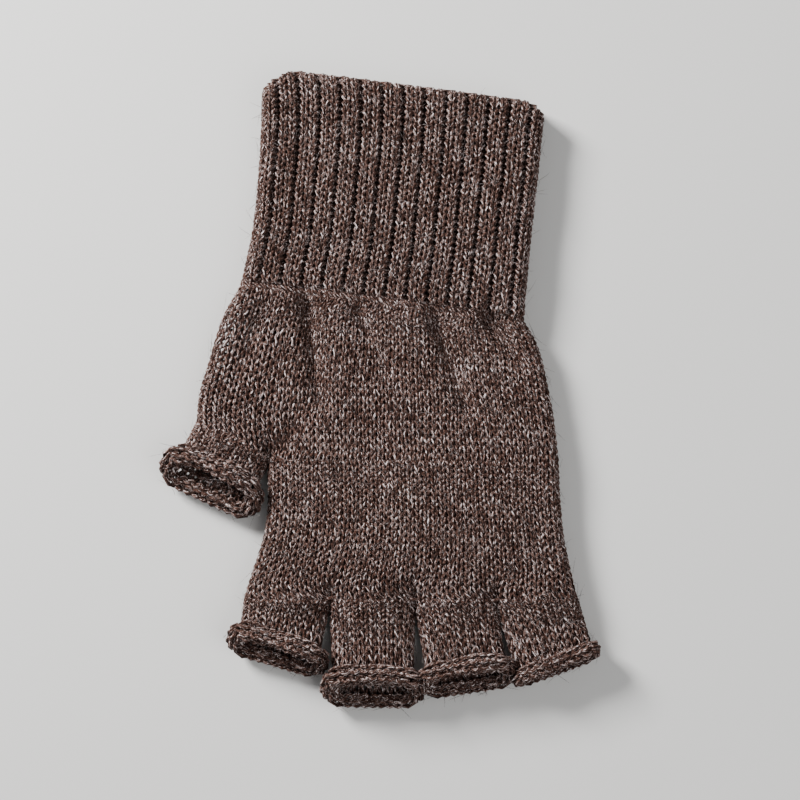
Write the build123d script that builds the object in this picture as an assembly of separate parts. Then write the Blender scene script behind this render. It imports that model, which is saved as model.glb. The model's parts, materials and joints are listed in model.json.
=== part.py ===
"""Fingerless glove, knitted in one round from a marled wool yarn and laid flat.

Frame: the glove lies on the plane Z = 0. +Y runs from the fingers to the cuff, -X is the thumb
side, and the origin is the centre of the glove's bounding box, on the table. Millimetres.

The glove is a set of flattened knitted tubes: a ribbed cuff, the hand, a thumb stub and four
finger stubs. Every stub ends in a rim, where the plain knitting curls outwards into a bead.
Each stub and the cuff fold upwards about a line just above the fabric, where they meet the hand.
"""

import math
import os
from dataclasses import dataclass

from build123d import *

# ---- fabric -----------------------------------------------------------------------------------
WALL = 2.3  # plain knitting, one layer
RIB_WALL = 2.8  # ribbed knitting, one layer
FOLD_GAP = 0.3  # free gap between two tubes that fold about the same line
UNDERCUT = 0.6  # depth that is trimmed from the underside, so that it rests flat

# ---- heights above the table --------------------------------------------------------------------
HAND_EDGE = 9.6  # height of the hand's rounded edges
HAND_CROWN = 12.0  # height along the middle of the hand
CUFF_EDGE = 10.6
CUFF_CROWN = 12.0
ROOT_CROWN = 11.8  # height of a stub where it meets the hand
MOUTH_HEIGHT = 9.4  # height of a stub's tube behind its rim
MOUTH_BORE = 5.0  # height of the way in, level through the rim
MOUTH_MIDDLE = 6.0  # the middle of a mouth lies this high
FOLD_HEIGHT = 12.3  # the fold lines lie this high, just above the fabric

# ---- rolled rims --------------------------------------------------------------------------------
ROLL_FACE = 2.0  # how far a rim's bead stands above and below its tube
ROLL_SIDE = 1.5  # how far it stands out at the tube's edges
BEAD_ENDS = 0.35  # share of the bead's relief at its two ends

# ---- cuff ---------------------------------------------------------------------------------------
WRIST_CENTRE = (1.5, 26.5)
WRIST_WIDTH = 84.8
WRIST_SLOPE = -7.4  # of the wrist line, in degrees
CUFF_LENGTH = 61.6  # ribbing only
CUFF_WIDTH = 85.2  # at its open end
CUFF_HEADING = 5.8  # of the cuff's own axis, in degrees to the right of +Y
CAST_OFF = 3.0  # the firm edge beyond the ribbing
CAST_OFF_TAPER = 0.7
WRIST_ROW = 2.0  # the row where ribs change to plain stitches
WRIST_ROW_DIP = 0.8  # how far that row draws in

# ---- hand ---------------------------------------------------------------------------------------
HAND_LENGTH = 90.0  # from the wrist line to the finger roots
PALM_OUTLINE = [(0.24, -37.2, 50.0), (0.53, -32.8, 54.3), (0.76, -33.6, 55.8)]
# share of the hand's length, left edge, right edge
KNUCKLE_LEFT = -39.3  # where the index finger starts
CROTCH_GAP = 1.6  # between two neighbouring finger roots
GUSSET_START = 34.0  # width of the thumb's gusset at the wrist

# ---- crotches -------------------------------------------------------------------------------------
JOIN_WIDTH = 2.4  # the gathered stitches that close the gap between two stubs
JOIN_LENGTH = 3.4


@dataclass
class Stub:
    """One finger or thumb tube, from its root line to its mouth."""

    name: str
    root: float  # width where it meets the hand
    mouth: float  # width at the mouth
    length: float  # from the root line to the middle of the rim
    heading: float  # of its axis, in degrees to the right of -Y
    slope: float  # of the mouth's line, in degrees
    lean: float  # how far the rim leans back from upright, in degrees
    rim: float  # length of the rim along the tube


FINGERS = [
    Stub("index", 24.4, 27.0, 16.2, -12.0, -17.0, 12.0, 6.0),
    Stub("middle", 23.6, 24.6, 26.2, 0.0, -1.0, 26.0, 6.6),
    Stub("ring", 23.0, 24.2, 22.8, 9.9, 8.5, 14.0, 5.8),
    Stub("little", 23.4, 23.2, 20.9, 18.4, 21.0, 4.0, 4.9),
]
THUMB = Stub("thumb", 23.9, 30.4, 16.6, -26.3, -25.0, 22.0, 6.4)
THUMB_ROOT_SLOPE = -27.6  # of the thumb's root line, in degrees

# ---- cutting room ---------------------------------------------------------------------------------
OVERRUN = 30.0  # how far a cutting core reaches past an open end
FAR = 200.0  # larger than the glove
THROAT = 2.5  # how far behind the rim the tube's inside becomes level
OVAL_CROWN = 0.2  # rise of a mouth's upper line


# ---- lines in plan ----------------------------------------------------------------------------------
def sloped(centre, width, slope):
    """The left and right end of a line of some width about a centre, sloped in degrees."""
    turn = math.radians(slope)
    half = Vector(math.cos(turn), math.sin(turn)) * (width / 2)
    return Vector(*centre) - half, Vector(*centre) + half


def level(left, right, y):
    return Vector(left, y), Vector(right, y)


def wrist_line(shift):
    """The wrist line, moved towards the cuff."""
    turn = math.radians(WRIST_SLOPE)
    centre = Vector(*WRIST_CENTRE) + Vector(-math.sin(turn), math.cos(turn)) * shift
    return sloped(centre, WRIST_WIDTH, WRIST_SLOPE)


def cuff_line(along):
    """A line across the cuff, some way along it from the wrist line."""
    turn = math.radians(CUFF_HEADING)
    centre = Vector(*WRIST_CENTRE) + Vector(math.sin(turn), math.cos(turn)) * along
    return sloped(centre, CUFF_WIDTH, WRIST_SLOPE)


def root_y():
    return WRIST_CENTRE[1] - HAND_LENGTH


def finger_roots():
    """The root lines of the four fingers, side by side from the index finger."""
    lines, left = [], KNUCKLE_LEFT
    for stub in FINGERS:
        lines.append(level(left, left + stub.root, root_y()))
        left += stub.root + CROTCH_GAP
    return lines


def palm_lines():
    """The lines across the hand between the wrist row and the finger roots."""
    y = WRIST_CENTRE[1]
    return [level(left, right, y - share * HAND_LENGTH) for share, left, right in PALM_OUTLINE]


def thumb_root():
    """The thumb's root line, which ends on the hand's left edge at the crotch."""
    turn = math.radians(THUMB_ROOT_SLOPE)
    crotch = palm_lines()[1][0]
    return crotch - Vector(math.cos(turn), math.sin(turn)) * THUMB.root, crotch


def mouth_centre(stub, root):
    turn = math.radians(stub.heading)
    return (root[0] + root[1]) / 2 + Vector(math.sin(turn), -math.cos(turn)) * stub.length


# ---- sections -----------------------------------------------------------------------------------------
def upright(line):
    """The upright plane on a line from left to right, facing the fingers."""
    across = (line[1] - line[0]).normalized()
    middle = (line[0] + line[1]) / 2
    return Plane(origin=middle, x_dir=across, z_dir=across.cross(Vector(0, 0, 1)))


def flat_tube(line, edge, crown, inset=0.0, shift=0.0):
    """The outline of a tube lying flat: level below, round at both edges, crowned on top."""
    width = (line[1] - line[0]).length - 2 * inset
    return upright(line).offset(shift) * band(width, inset - UNDERCUT, edge - inset, crown - inset)


def oval(plane, width, height):
    """The outline of a tube's open mouth, about the plane's own origin."""
    return plane * band(width, -height / 2, height / 2, height / 2 + OVAL_CROWN)


def band(width, below, above, crown):
    """A level line below, a half round at each edge and a crowned arc above."""
    turn = (above - below) / 2
    side = width / 2 - turn
    outline = [
        Line((-side, below), (side, below)),
        ThreePointArc((side, below), (side + turn, below + turn), (side, above)),
        ThreePointArc((side, above), (0, crown), (-side, above)),
        ThreePointArc((-side, above), (-side - turn, below + turn), (-side, below)),
    ]
    return make_face(outline)


def hand_section(line, inset=0.0):
    return flat_tube(line, HAND_EDGE, HAND_CROWN, inset)


def cuff_section(line, inset=0.0, shift=0.0):
    return flat_tube(line, CUFF_EDGE, CUFF_CROWN, inset, shift)


def root_section(line, inset=0.0):
    return flat_tube(line, HAND_EDGE, ROOT_CROWN, inset, FOLD_GAP)


def hollowed(outer, inner):
    """A tube through the outer outlines, hollowed along the inner ones and open at both ends."""
    core = loft(inner) + extrude(inner[0], -OVERRUN) + extrude(inner[-1], OVERRUN)
    return one(above_table(loft(outer) - core))


def above_table(shape):
    """Trims what would sink into the table and leaves a level underside."""
    return shape - Box(FAR * 2, FAR * 2, FAR, align=(Align.CENTER, Align.CENTER, Align.MAX))


def one(shape):
    """The largest solid of a cut, which is the part itself."""
    return max(shape.solids(), key=lambda solid: solid.volume)


# ---- hand -----------------------------------------------------------------------------------------------
def hand_solid(inset=0.0):
    """The hand with its thumb gusset, as a full body set in from the surface."""
    knuckles = level(KNUCKLE_LEFT, finger_roots()[-1][1].X, root_y())
    palm = loft([hand_section(x, inset) for x in [wrist_line(-WRIST_ROW), *palm_lines(), knuckles]])
    start_left, start_right = wrist_line(-WRIST_ROW)
    across = (start_right - start_left).normalized()
    start = (start_left, start_left + across * GUSSET_START)
    return palm, loft([hand_section(start, inset), hand_section(thumb_root(), inset)])


def make_hand():
    """The hand tube, and the hollow inside it."""
    palm, gusset = hand_solid()
    palm_core, gusset_core = hand_solid(WALL)
    ends = palm_core.faces().sort_by(Axis.Y)
    thumb_end = gusset_core.faces().sort_by(Axis.Y)[0]
    hollow = palm_core + gusset_core
    open_core = hollow + extrude(ends[0], OVERRUN) + extrude(ends[-1], OVERRUN) + extrude(thumb_end, OVERRUN)
    return one(above_table(palm + gusset - open_core)), hollow


def make_join(x, hollow):
    """Gathered stitches at a crotch, which tie the lower layer of the hand to the upper one."""
    post = Box(JOIN_WIDTH, JOIN_LENGTH, FAR, align=(Align.CENTER, Align.MIN, Align.CENTER))
    rounded = fillet(post.edges().filter_by(Axis.Z), JOIN_WIDTH / 3)
    return one(Pos(x, root_y(), 0) * rounded & hollow)


# ---- cuff -------------------------------------------------------------------------------------------------
def make_wrist_row():
    """The row where the ribs change to plain stitches. It draws the fabric in a little."""
    lines = [wrist_line(0), wrist_line(-WRIST_ROW / 2), wrist_line(-WRIST_ROW)]
    insets = [0.0, WRIST_ROW_DIP, 0.0]
    outer = [hand_section(line, inset) for line, inset in zip(lines, insets)]
    return hollowed(outer, [hand_section(line, WALL) for line in lines])


def make_cuff():
    end, wrist = cuff_line(CUFF_LENGTH), wrist_line(0)
    outer = [cuff_section(end), cuff_section(wrist, 0.0, -FOLD_GAP)]
    return hollowed(outer, [cuff_section(end, RIB_WALL), cuff_section(wrist, RIB_WALL, -FOLD_GAP)])


def make_cast_off():
    """The firm edge at the cuff's mouth, which turns in slightly."""
    end, start = cuff_line(CUFF_LENGTH + CAST_OFF), cuff_line(CUFF_LENGTH)
    outer = [cuff_section(end, CAST_OFF_TAPER), cuff_section(start)]
    return hollowed(outer, [cuff_section(end, RIB_WALL), cuff_section(start, RIB_WALL)])


# ---- stubs --------------------------------------------------------------------------------------------------
def mouth_plane(stub, root):
    """The upright plane at the middle of a stub's rim, at the height of its bore."""
    line = sloped(mouth_centre(stub, root), stub.mouth, stub.slope)
    plane = upright(line)
    return Plane(plane.origin + Vector(0, 0, MOUTH_MIDDLE), plane.x_dir, plane.z_dir)


def rim_section(stub, root, offset, grow=0.0):
    """The outline of a stub's mouth on the leaning rim, grown by a share of the bead's relief."""
    plane = mouth_plane(stub, root).rotated((-stub.lean, 0, 0)).offset(offset)
    return oval(plane, stub.mouth + 2 * grow * ROLL_SIDE, MOUTH_HEIGHT + 2 * grow * ROLL_FACE)


def stub_core(stub, root):
    """The room inside a stub, which runs level through its rim."""
    inside = root_section(root, WALL)
    behind = mouth_plane(stub, root).offset(-stub.rim / 2 - THROAT)
    throat = oval(behind, stub.mouth - 2 * WALL, MOUTH_BORE)
    return loft([inside, throat]) + extrude(throat, OVERRUN) + extrude(inside, -OVERRUN)


def make_stub(stub, root):
    """The tube of one stub, and its rolled rim."""
    core = stub_core(stub, root)
    back = rim_section(stub, root, -stub.rim / 2)
    tube = one(above_table(loft([root_section(root), back]) - core))
    bead = [(-stub.rim / 2, BEAD_ENDS), (0.0, 1.0), (stub.rim / 2, BEAD_ENDS)]
    rim = loft([rim_section(stub, root, offset, grow) for offset, grow in bead]) - core
    return tube, one(above_table(rim))


# ---- fold lines ------------------------------------------------------------------------------------------------
def fold_lines():
    """The middle and direction of each line about which a tube lifts off the table."""
    lines = {"cuff": wrist_line(0)}
    for stub, root in zip([THUMB, *FINGERS], [thumb_root(), *finger_roots()]):
        lines[stub.name] = (root[1], root[0])
    up = Vector(0, 0, FOLD_HEIGHT)
    return {name: ((a + b) / 2 + up, (b - a).normalized()) for name, (a, b) in lines.items()}


# ---- assembly --------------------------------------------------------------------------------------------------
def make_glove():
    """Every piece of the glove by name."""
    hand, hollow = make_hand()
    pieces = {
        "cuff_cast_off_edge": make_cast_off(),
        "cuff_rib": make_cuff(),
        "wrist_join_row": make_wrist_row(),
        "hand_tube": hand,
    }
    roots = finger_roots()
    for stub, root in zip([THUMB, *FINGERS], [thumb_root(), *roots]):
        pieces[f"{stub.name}_tube"], pieces[f"{stub.name}_rolled_rim"] = make_stub(stub, root)
    for n, stub in enumerate(FINGERS[1:]):
        crotch = (roots[n][1].X + roots[n + 1][0].X) / 2
        pieces[f"{FINGERS[n].name}_{stub.name}_crotch_join"] = make_join(crotch, hollow)
    return pieces


def centred(pieces):
    """The pieces moved so that the origin is the middle of the whole glove, on the table."""
    box = Compound(list(pieces.values())).bounding_box()
    shift = Pos(-box.center().X, -box.center().Y, 0)
    return {name: shift * piece for name, piece in pieces.items()}, shift.position


if __name__ == "__main__":
    os.makedirs("parts", exist_ok=True)
    glove, moved = centred(make_glove())
    for name, piece in glove.items():
        export_step(piece, f"parts/{name}.step")
    for name, (middle, axis) in fold_lines().items():
        print(name, "folds about", tuple(middle + moved), "along", tuple(axis))
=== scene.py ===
# %% [markdown]
# # A fingerless glove, stitch by stitch
#
# A knitted glove is one continuous yarn, looped row by row into flattened tubes: a ribbed cuff, a
# plain hand that splits into a thumb and four fingers, and a rolled rim on every opening.
# A texture of V shapes on smooth tubes would do from a distance, but the knitting is the whole
# character of this object, so here the yarn itself is made. Each tube is first a smooth surface
# with one column for each wale and one row for each course, and Geometry Nodes then run the yarn
# over it, one closed ring for each course.

import json
import math
from collections import namedtuple

import bpy
import numpy as np
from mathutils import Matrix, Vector


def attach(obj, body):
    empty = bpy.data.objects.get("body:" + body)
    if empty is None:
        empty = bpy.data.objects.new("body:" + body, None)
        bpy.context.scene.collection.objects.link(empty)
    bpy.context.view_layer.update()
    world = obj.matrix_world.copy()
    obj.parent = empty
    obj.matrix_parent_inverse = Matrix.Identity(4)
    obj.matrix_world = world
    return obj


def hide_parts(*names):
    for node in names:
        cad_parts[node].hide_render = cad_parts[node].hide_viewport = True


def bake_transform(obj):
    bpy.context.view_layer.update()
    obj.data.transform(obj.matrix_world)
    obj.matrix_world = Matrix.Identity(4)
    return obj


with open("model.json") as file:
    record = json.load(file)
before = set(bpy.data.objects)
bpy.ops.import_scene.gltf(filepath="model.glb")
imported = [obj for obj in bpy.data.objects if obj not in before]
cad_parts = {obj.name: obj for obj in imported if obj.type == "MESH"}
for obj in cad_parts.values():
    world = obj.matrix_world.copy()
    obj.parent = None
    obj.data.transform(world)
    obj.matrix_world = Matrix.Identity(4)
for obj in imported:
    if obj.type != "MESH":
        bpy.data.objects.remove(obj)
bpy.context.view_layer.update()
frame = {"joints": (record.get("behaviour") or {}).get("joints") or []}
MM = 0.001
FOLDS = {joint["name"]: Vector(joint["pos_m"]) for joint in frame["joints"]}

# %% [markdown]
# ## The layout in plan
#
# Plan points are written in millimetres about a drawing origin, the one that the CAD source uses,
# where the middle of the wrist line is a known point. The cuff's fold line passes through that
# point, so the frame itself says how far the drawing is from the packed part.

# %% Drawing origin
WRIST_CENTRE = np.array([1.5, 26.5])
FOLD_HEIGHT = FOLDS["cuff_fold"].z / MM
ORIGIN = np.array([FOLDS["cuff_fold"].x, FOLDS["cuff_fold"].y]) / MM - WRIST_CENTRE
print("drawing origin moved by", ORIGIN.round(3), "mm")

# %% [markdown]
# ## Sizes of the knitting
#
# A wale is a column of stitches and a course is a row. The counts come from the gauge: about 2.6 mm
# for each wale and 2 mm for each course in plain knitting. The tubes drawn below are the fabric's
# middle surface, about 1.1 mm inside the knitting's face.

# %% Gauge
YARN = 0.50  # mm, radius
STUB_YARN = 0.54  # mm, in the looser thumb and finger tubes
RIM_YARN = 0.60  # mm, where the yarn relaxes in the rolled rims
CUFF_WALES, CUFF_COURSES = 84, 32
RIB = 3  # two knit wales and one purl wale
PALM_FACE_WALES = 38  # on one face, beyond the thumb
THUMB_FACE_WALES = 8  # on one face of the hand, which run on into the thumb
HEEL_WALES = 2 * (PALM_FACE_WALES + THUMB_FACE_WALES)
PALM_WALES = 2 * PALM_FACE_WALES
HEEL_COURSES = 22
PALM_COURSES = 21
FINGER_WALES = 22
ROLL_COURSES = 6
for stretch, wales, courses in (
    ("heel", HEEL_WALES, HEEL_COURSES),
    ("palm", PALM_WALES, PALM_COURSES),
    ("cuff", CUFF_WALES, CUFF_COURSES),
):
    print(stretch, "has", wales * courses, "stitches")


# %% [markdown]
# ## One small class for node sums
#
# A long formula in nodes is easier to read as a formula. `Sum` wraps a node's output and turns
# Python's operators into Math nodes. `Tree` adds any other node in one call. The same two classes
# serve the yarn's Geometry Nodes and the wool's shader.


# %% Sums of nodes
class Sum:
    """The output of a node, on which arithmetic adds Math nodes."""

    def __init__(self, tree, socket):
        self.tree, self.socket = tree, socket

    def math(self, operation, *others):
        values = dict(enumerate([self, *others]))
        return self.tree.add("ShaderNodeMath", {"operation": operation}, values).out(0)

    def __add__(self, other):
        return self.math("ADD", other)

    __radd__ = __add__

    def __mul__(self, other):
        return self.math("MULTIPLY", other)

    __rmul__ = __mul__

    def __sub__(self, other):
        return self.math("SUBTRACT", other)

    def __rsub__(self, other):
        return self.tree.number(other).math("SUBTRACT", self)

    def __truediv__(self, other):
        return self.math("DIVIDE", other)

    def __mod__(self, other):
        return self.math("FLOORED_MODULO", other)

    def sine(self):
        return self.math("SINE")

    def cosine(self):
        return self.math("COSINE")

    def floor(self):
        return self.math("FLOOR")

    def above(self, edge):
        return self.math("GREATER_THAN", edge)


print("arithmetic on nodes:", [name for name in vars(Sum) if name.startswith("__r")])


# %% Adding nodes to a tree
class Part:
    """A node, with its outputs as Sum values."""

    def __init__(self, tree, node):
        self.tree, self.node = tree, node

    def out(self, key=0):
        return Sum(self.tree, self.node.outputs[key])


class Tree:
    """Adds nodes to a shader or geometry tree."""

    def __init__(self, nodes_of):
        self.group = nodes_of

    def add(self, kind, settings, inputs):
        node = self.group.nodes.new(kind)
        for name, value in settings.items():
            setattr(node, name, value)
        for key, value in inputs.items():
            socket = node.inputs[key]
            if isinstance(value, Sum):
                self.group.links.new(value.socket, socket)
            else:
                socket.default_value = value
        return Part(self, node)

    def number(self, value):
        node = self.add("ShaderNodeValue", {}, {})
        node.node.outputs[0].default_value = value
        return node.out(0)

    def vector(self, x, y, z):
        return self.add("ShaderNodeCombineXYZ", {}, {"X": x, "Y": y, "Z": z}).out(0)

    def vectors(self, operation, a, b):
        settings = {"operation": operation}
        key = "Scale" if operation == "SCALE" else 1
        return self.add("ShaderNodeVectorMath", settings, {0: a, key: b}).out("Vector")


print("one call adds:", [name for name in vars(Tree) if not name.startswith("_")])

# %% [markdown]
# ## The wool
#
# The yarn is two plies of brown wool, one darker and one with pale lavender-grey hairs spun in,
# twisted together. Colour, twist and hairs all follow the yarn, so the shader works in the yarn's
# own coordinates: how far along it a point is, and how far round. Turned into a spiral in space,
# those two have no seam. A little sheen stands for the finest fuzz.


# %% Wool colours and weights
DARK_WOOL = (0.009, 0.002, 0.001, 1.0)
WARM_WOOL = (0.076, 0.027, 0.015, 1.0)
GREY_WOOL = (0.30, 0.205, 0.178, 1.0)
PALE_WOOL = (0.95, 0.87, 0.87, 1.0)
SHEEN_TINT = (0.9, 0.78, 0.74, 1.0)
TWIST = 0.55  # turns of the plies for each stitch
ROW_SHIFT = 7.31  # moves each course to its own stretch of the noise
PLY_WEIGHT, HAIR_WEIGHT, FLECK_WEIGHT, PATCH_WEIGHT, MIX_SHIFT = 0.25, 0.70, 0.18, 0.04, -0.085
DARK_STOP, WARM_STOP = 0.462, 0.517  # places on the colour ramp
GREY_STEP, PALE_STEP = 0.05, 0.09  # past the warm stop
FIBRE_DEPTH = 0.00022  # m, what the bump stands for
YARN_MAP = "yarn"
print("twist in degrees for each stitch:", round(360 * TWIST))


# %% Wool material
def wool(name, shade, pale_share):
    """Marled wool: shade darkens it as painted shade, pale_share sets how much pale hair shows."""

    def noise(place, scale, detail, roughness=0.5):
        values = {"Vector": place, "Scale": scale, "Detail": detail, "Roughness": roughness}
        return tree.add("ShaderNodeTexNoise", {}, values).out(0)

    material = bpy.data.materials.new(name)
    material.use_nodes = True
    tree = Tree(material.node_tree)
    shader = material.node_tree.nodes["Principled BSDF"]
    place = tree.add("ShaderNodeUVMap", {"uv_map": YARN_MAP}, {}).out("UV")
    split = tree.add("ShaderNodeSeparateXYZ", {}, {"Vector": place})
    along, around = split.out("X"), split.out("Y")
    turn = (around + along * TWIST) * (2 * math.pi)
    rows = (around - around % 1.0) * ROW_SHIFT
    ply_spiral = tree.vector(along * 0.9 + rows, turn.cosine() * 0.45, turn.sine() * 0.45)
    hair_spiral = tree.vector(along * 2.3 + rows, turn.cosine() * 0.6, turn.sine() * 0.6)
    body = tree.add("ShaderNodeTexCoord", {}, {}).out("Object")
    patch = noise(body, 90.0, 2.0)
    ply = noise(ply_spiral, 2.1, 3.0, 0.6)
    hair = noise(hair_spiral, 3.2, 4.0, 0.75)
    fleck = noise(body, 1900.0, 2.0)
    mixed = ply * PLY_WEIGHT + hair * HAIR_WEIGHT
    mixed = mixed + fleck * FLECK_WEIGHT + patch * PATCH_WEIGHT + MIX_SHIFT
    greys, pales = WARM_STOP + GREY_STEP / pale_share, WARM_STOP + PALE_STEP / pale_share
    stops = [(DARK_STOP, DARK_WOOL), (WARM_STOP, WARM_WOOL), (greys, GREY_WOOL), (pales, PALE_WOOL)]
    ramp = tree.add("ShaderNodeValToRGB", {}, {"Fac": mixed})
    elements = ramp.node.color_ramp.elements
    for position, _ in stops[1:-1]:
        elements.new(position)
    for element, (position, colour) in zip(elements, stops):
        element.position = position
        element.color = colour
    multiply = {"data_type": "RGBA", "blend_type": "MULTIPLY"}
    dimmed = tree.add("ShaderNodeMix", multiply, {"Factor": 1.0})
    dimmed.node.inputs["B"].default_value = (shade, shade, shade, 1.0)
    material.node_tree.links.new(ramp.out(0).socket, dimmed.node.inputs["A"])
    colour = next(o for o in dimmed.node.outputs if o.type == "RGBA")
    material.node_tree.links.new(colour, shader.inputs["Base Color"])
    relief = (turn * 2.0).cosine() * 0.55 + hair * 2.4 + fleck * 0.9
    bumped = {"Strength": 0.75, "Distance": FIBRE_DEPTH, "Height": relief}
    bump = tree.add("ShaderNodeBump", {}, bumped)
    material.node_tree.links.new(bump.out(0).socket, shader.inputs["Normal"])
    rough = 0.84 + hair * 0.12
    material.node_tree.links.new(rough.socket, shader.inputs["Roughness"])
    shader.inputs["Specular IOR Level"].default_value = 0.18
    shader.inputs["Sheen Weight"].default_value = 0.04
    shader.inputs["Sheen Roughness"].default_value = 0.55
    shader.inputs["Sheen Tint"].default_value = SHEEN_TINT
    return material


PLAIN_WOOL = wool("marled_wool", 1.0, 1.0)
# The rims' wool is the plain wool dimmed by 0.95, which paints shade on the rolled rims.
RIM_WOOL_PAINTED_SHADE = wool("marled_wool_rim_painted_shade", 0.95, 1.0)
print("wool materials", [m.name for m in (PLAIN_WOOL, RIM_WOOL_PAINTED_SHADE)])

# %% [markdown]
# ## Smooth tubes to knit on
#
# A ring is a flattened tube's outline: a line across the glove in plan, a level lower face, a
# crowned upper face and rounded edges. It could be an ellipse, but cloth lying on a table is flat
# underneath and turns tightly at its edges, which straight runs and half rounds give.


# %% Rings
FINE = 24  # points on each half round
QUARTERS = 4  # columns of a grid for each wale
LINE_POINTS = 241
SOFTENINGS = 60  # passes that round a line's corners


def distances(line):
    """How far along a line each of its points is."""
    return np.concatenate([[0], np.cumsum(np.linalg.norm(np.diff(line, axis=0), axis=1))])


def plan_line(*points):
    """Dense points along a line through a few plan points, with soft corners."""
    corners = np.array(points, float)
    lengths = distances(corners)
    places = np.linspace(0, lengths[-1], LINE_POINTS)
    line = np.stack([np.interp(places, lengths, corners[:, k]) for k in (0, 1)], axis=1)
    for _ in range(SOFTENINGS):
        line[1:-1] = (line[:-2] + line[2:]) / 2
    return line


print("a softened corner", plan_line((0, 0), (10, 0), (10, 10))[LINE_POINTS // 2].round(2))


# %% A ring and its wales
def ring(line, low, high, crown, shape=None):
    """A closed outline from the right edge over the top to the left edge and back underneath."""
    lengths = distances(line)
    width, turn = lengths[-1], (high - low) / 2
    quarter = np.linspace(0, math.pi / 2, FINE)
    flat = np.linspace(1, -1, 8 * FINE)
    half_flat = width / 2 - turn
    across = np.concatenate([half_flat + turn * np.cos(quarter), flat * half_flat])
    across = np.concatenate([across, -half_flat - turn * np.sin(quarter)])
    crowned = high + (crown - high) * (1 - flat**2)
    over = np.concatenate([low + turn + turn * np.sin(quarter), crowned])
    over = np.concatenate([over, low + turn + turn * np.cos(quarter)])
    edge = np.clip(np.abs(across) - half_flat, 0, turn)
    rounded = low + turn - np.sqrt(np.maximum(turn**2 - edge**2, 0))
    under = np.where(np.abs(across) < half_flat, low, rounded)
    places = np.concatenate([across, across[::-1][1:]]) + width / 2
    heights = np.concatenate([over, under[::-1][1:]])
    plan = np.stack([np.interp(places, lengths, line[:, k]) for k in (0, 1)], axis=1)
    outline = np.column_stack([plan, heights])
    upper = np.arange(len(outline)) < len(across)
    if shape:
        outline[:, 2] = shape(outline, upper)
    return outline, places, upper


def spaced(outline, places, upper, wales, split=None):
    """The outline's points at each quarter wale. split = (distance, wales on one face beyond it)."""
    run = distances(outline)
    knots, marks = [0, wales], [0, run[-1]]
    if split:
        where, beyond = split
        over = np.flatnonzero(upper & (places >= where))[-1]
        under = np.flatnonzero(~upper & (places >= where))[0]
        knots, marks = [0, beyond, wales - beyond, wales], [0, run[over], run[under], run[-1]]
    count = np.arange(wales * QUARTERS + 1) / QUARTERS
    at = np.interp(count, knots, marks)
    return np.stack([np.interp(at, run, outline[:, k]) for k in range(3)], axis=1)


def through(shares, keys, values):
    """Smooth values at the shares, through the values given at the keys."""
    keys, values = np.array(keys, float), np.array(values, float)
    slopes = np.gradient(values, keys, axis=0)
    n = np.clip(np.searchsorted(keys, shares, side="right") - 1, 0, len(keys) - 2)
    span = keys[n + 1] - keys[n]
    t = (shares - keys[n]) / span
    spread = (slice(None),) + (None,) * (values.ndim - 1)
    t, span = t[spread], span[spread]
    a, b = values[n], values[n + 1]
    ra, rb = slopes[n] * span, slopes[n + 1] * span
    return a + ra * t + (3 * (b - a) - 2 * ra - rb) * t**2 + (2 * (a - b) + ra + rb) * t**3


print("a ring has", 2 * (8 * FINE + 2 * FINE) - 1, "points before it is shared out among the wales")

# %% [markdown]
# ## Yarn by Geometry Nodes
#
# A plain stitch is one wave of the yarn: up one leg, over the loop's head, down the other leg. The
# legs pinch together at the bottom and open at the top, and they stand in front of the heads. Three
# cosines give all of that. The tree makes the points of every course at once, looks up each point's
# place on the smooth surface through its UV map, pushes it out along the surface's normal, joins
# the points of a course into a closed ring and sweeps a small circle along it.


# %% The knitting tree
STITCH_MAP = "stitch"
BAKE_MAP = "OFBake"
POINTS = 10  # along the yarn in each stitch
SIDES = 6  # round the yarn
ROUNDING = 0.0001  # keeps a whole number from falling to the one below
WANDER_SCALE = 320.0  # of the noise that makes the yarn uneven


def geometry_tree(name, inputs):
    """An empty Geometry Nodes tree with named inputs, and those inputs as values."""
    group = bpy.data.node_groups.new(name, "GeometryNodeTree")
    group.interface.new_socket("Geometry", in_out="OUTPUT", socket_type="NodeSocketGeometry")
    group.interface.new_socket("Surface", in_out="INPUT", socket_type="NodeSocketGeometry")
    for label, (kind, value) in inputs.items():
        socket = group.interface.new_socket(label, in_out="INPUT", socket_type=f"NodeSocket{kind}")
        if value is not None:
            socket.default_value = value
    tree = Tree(group)
    entry = tree.add("NodeGroupInput", {}, {})
    return tree, {label: entry.out(label) for label in ["Surface", *inputs]}


def active(sockets, name):
    """The one socket of this name that the node's data type uses."""
    return next(socket for socket in sockets if socket.name == name and socket.enabled)


KNIT_INPUTS = {
    "Wales": ("Int", 20),
    "Courses": ("Int", 10),
    "Yarn radius": ("Float", YARN * MM),
    "Loop height": ("Float", 0.75),
    "Pinch": ("Float", 0.25),
    "Depth": ("Float", 0.56 * MM),
    "Tuck": ("Float", 0.36 * MM),
    "Rib": ("Float", 0.0),
    "Unevenness": ("Float", 0.16 * MM),
    "Seed": ("Float", 0.0),
    "Wool": ("Material", None),
}


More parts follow.
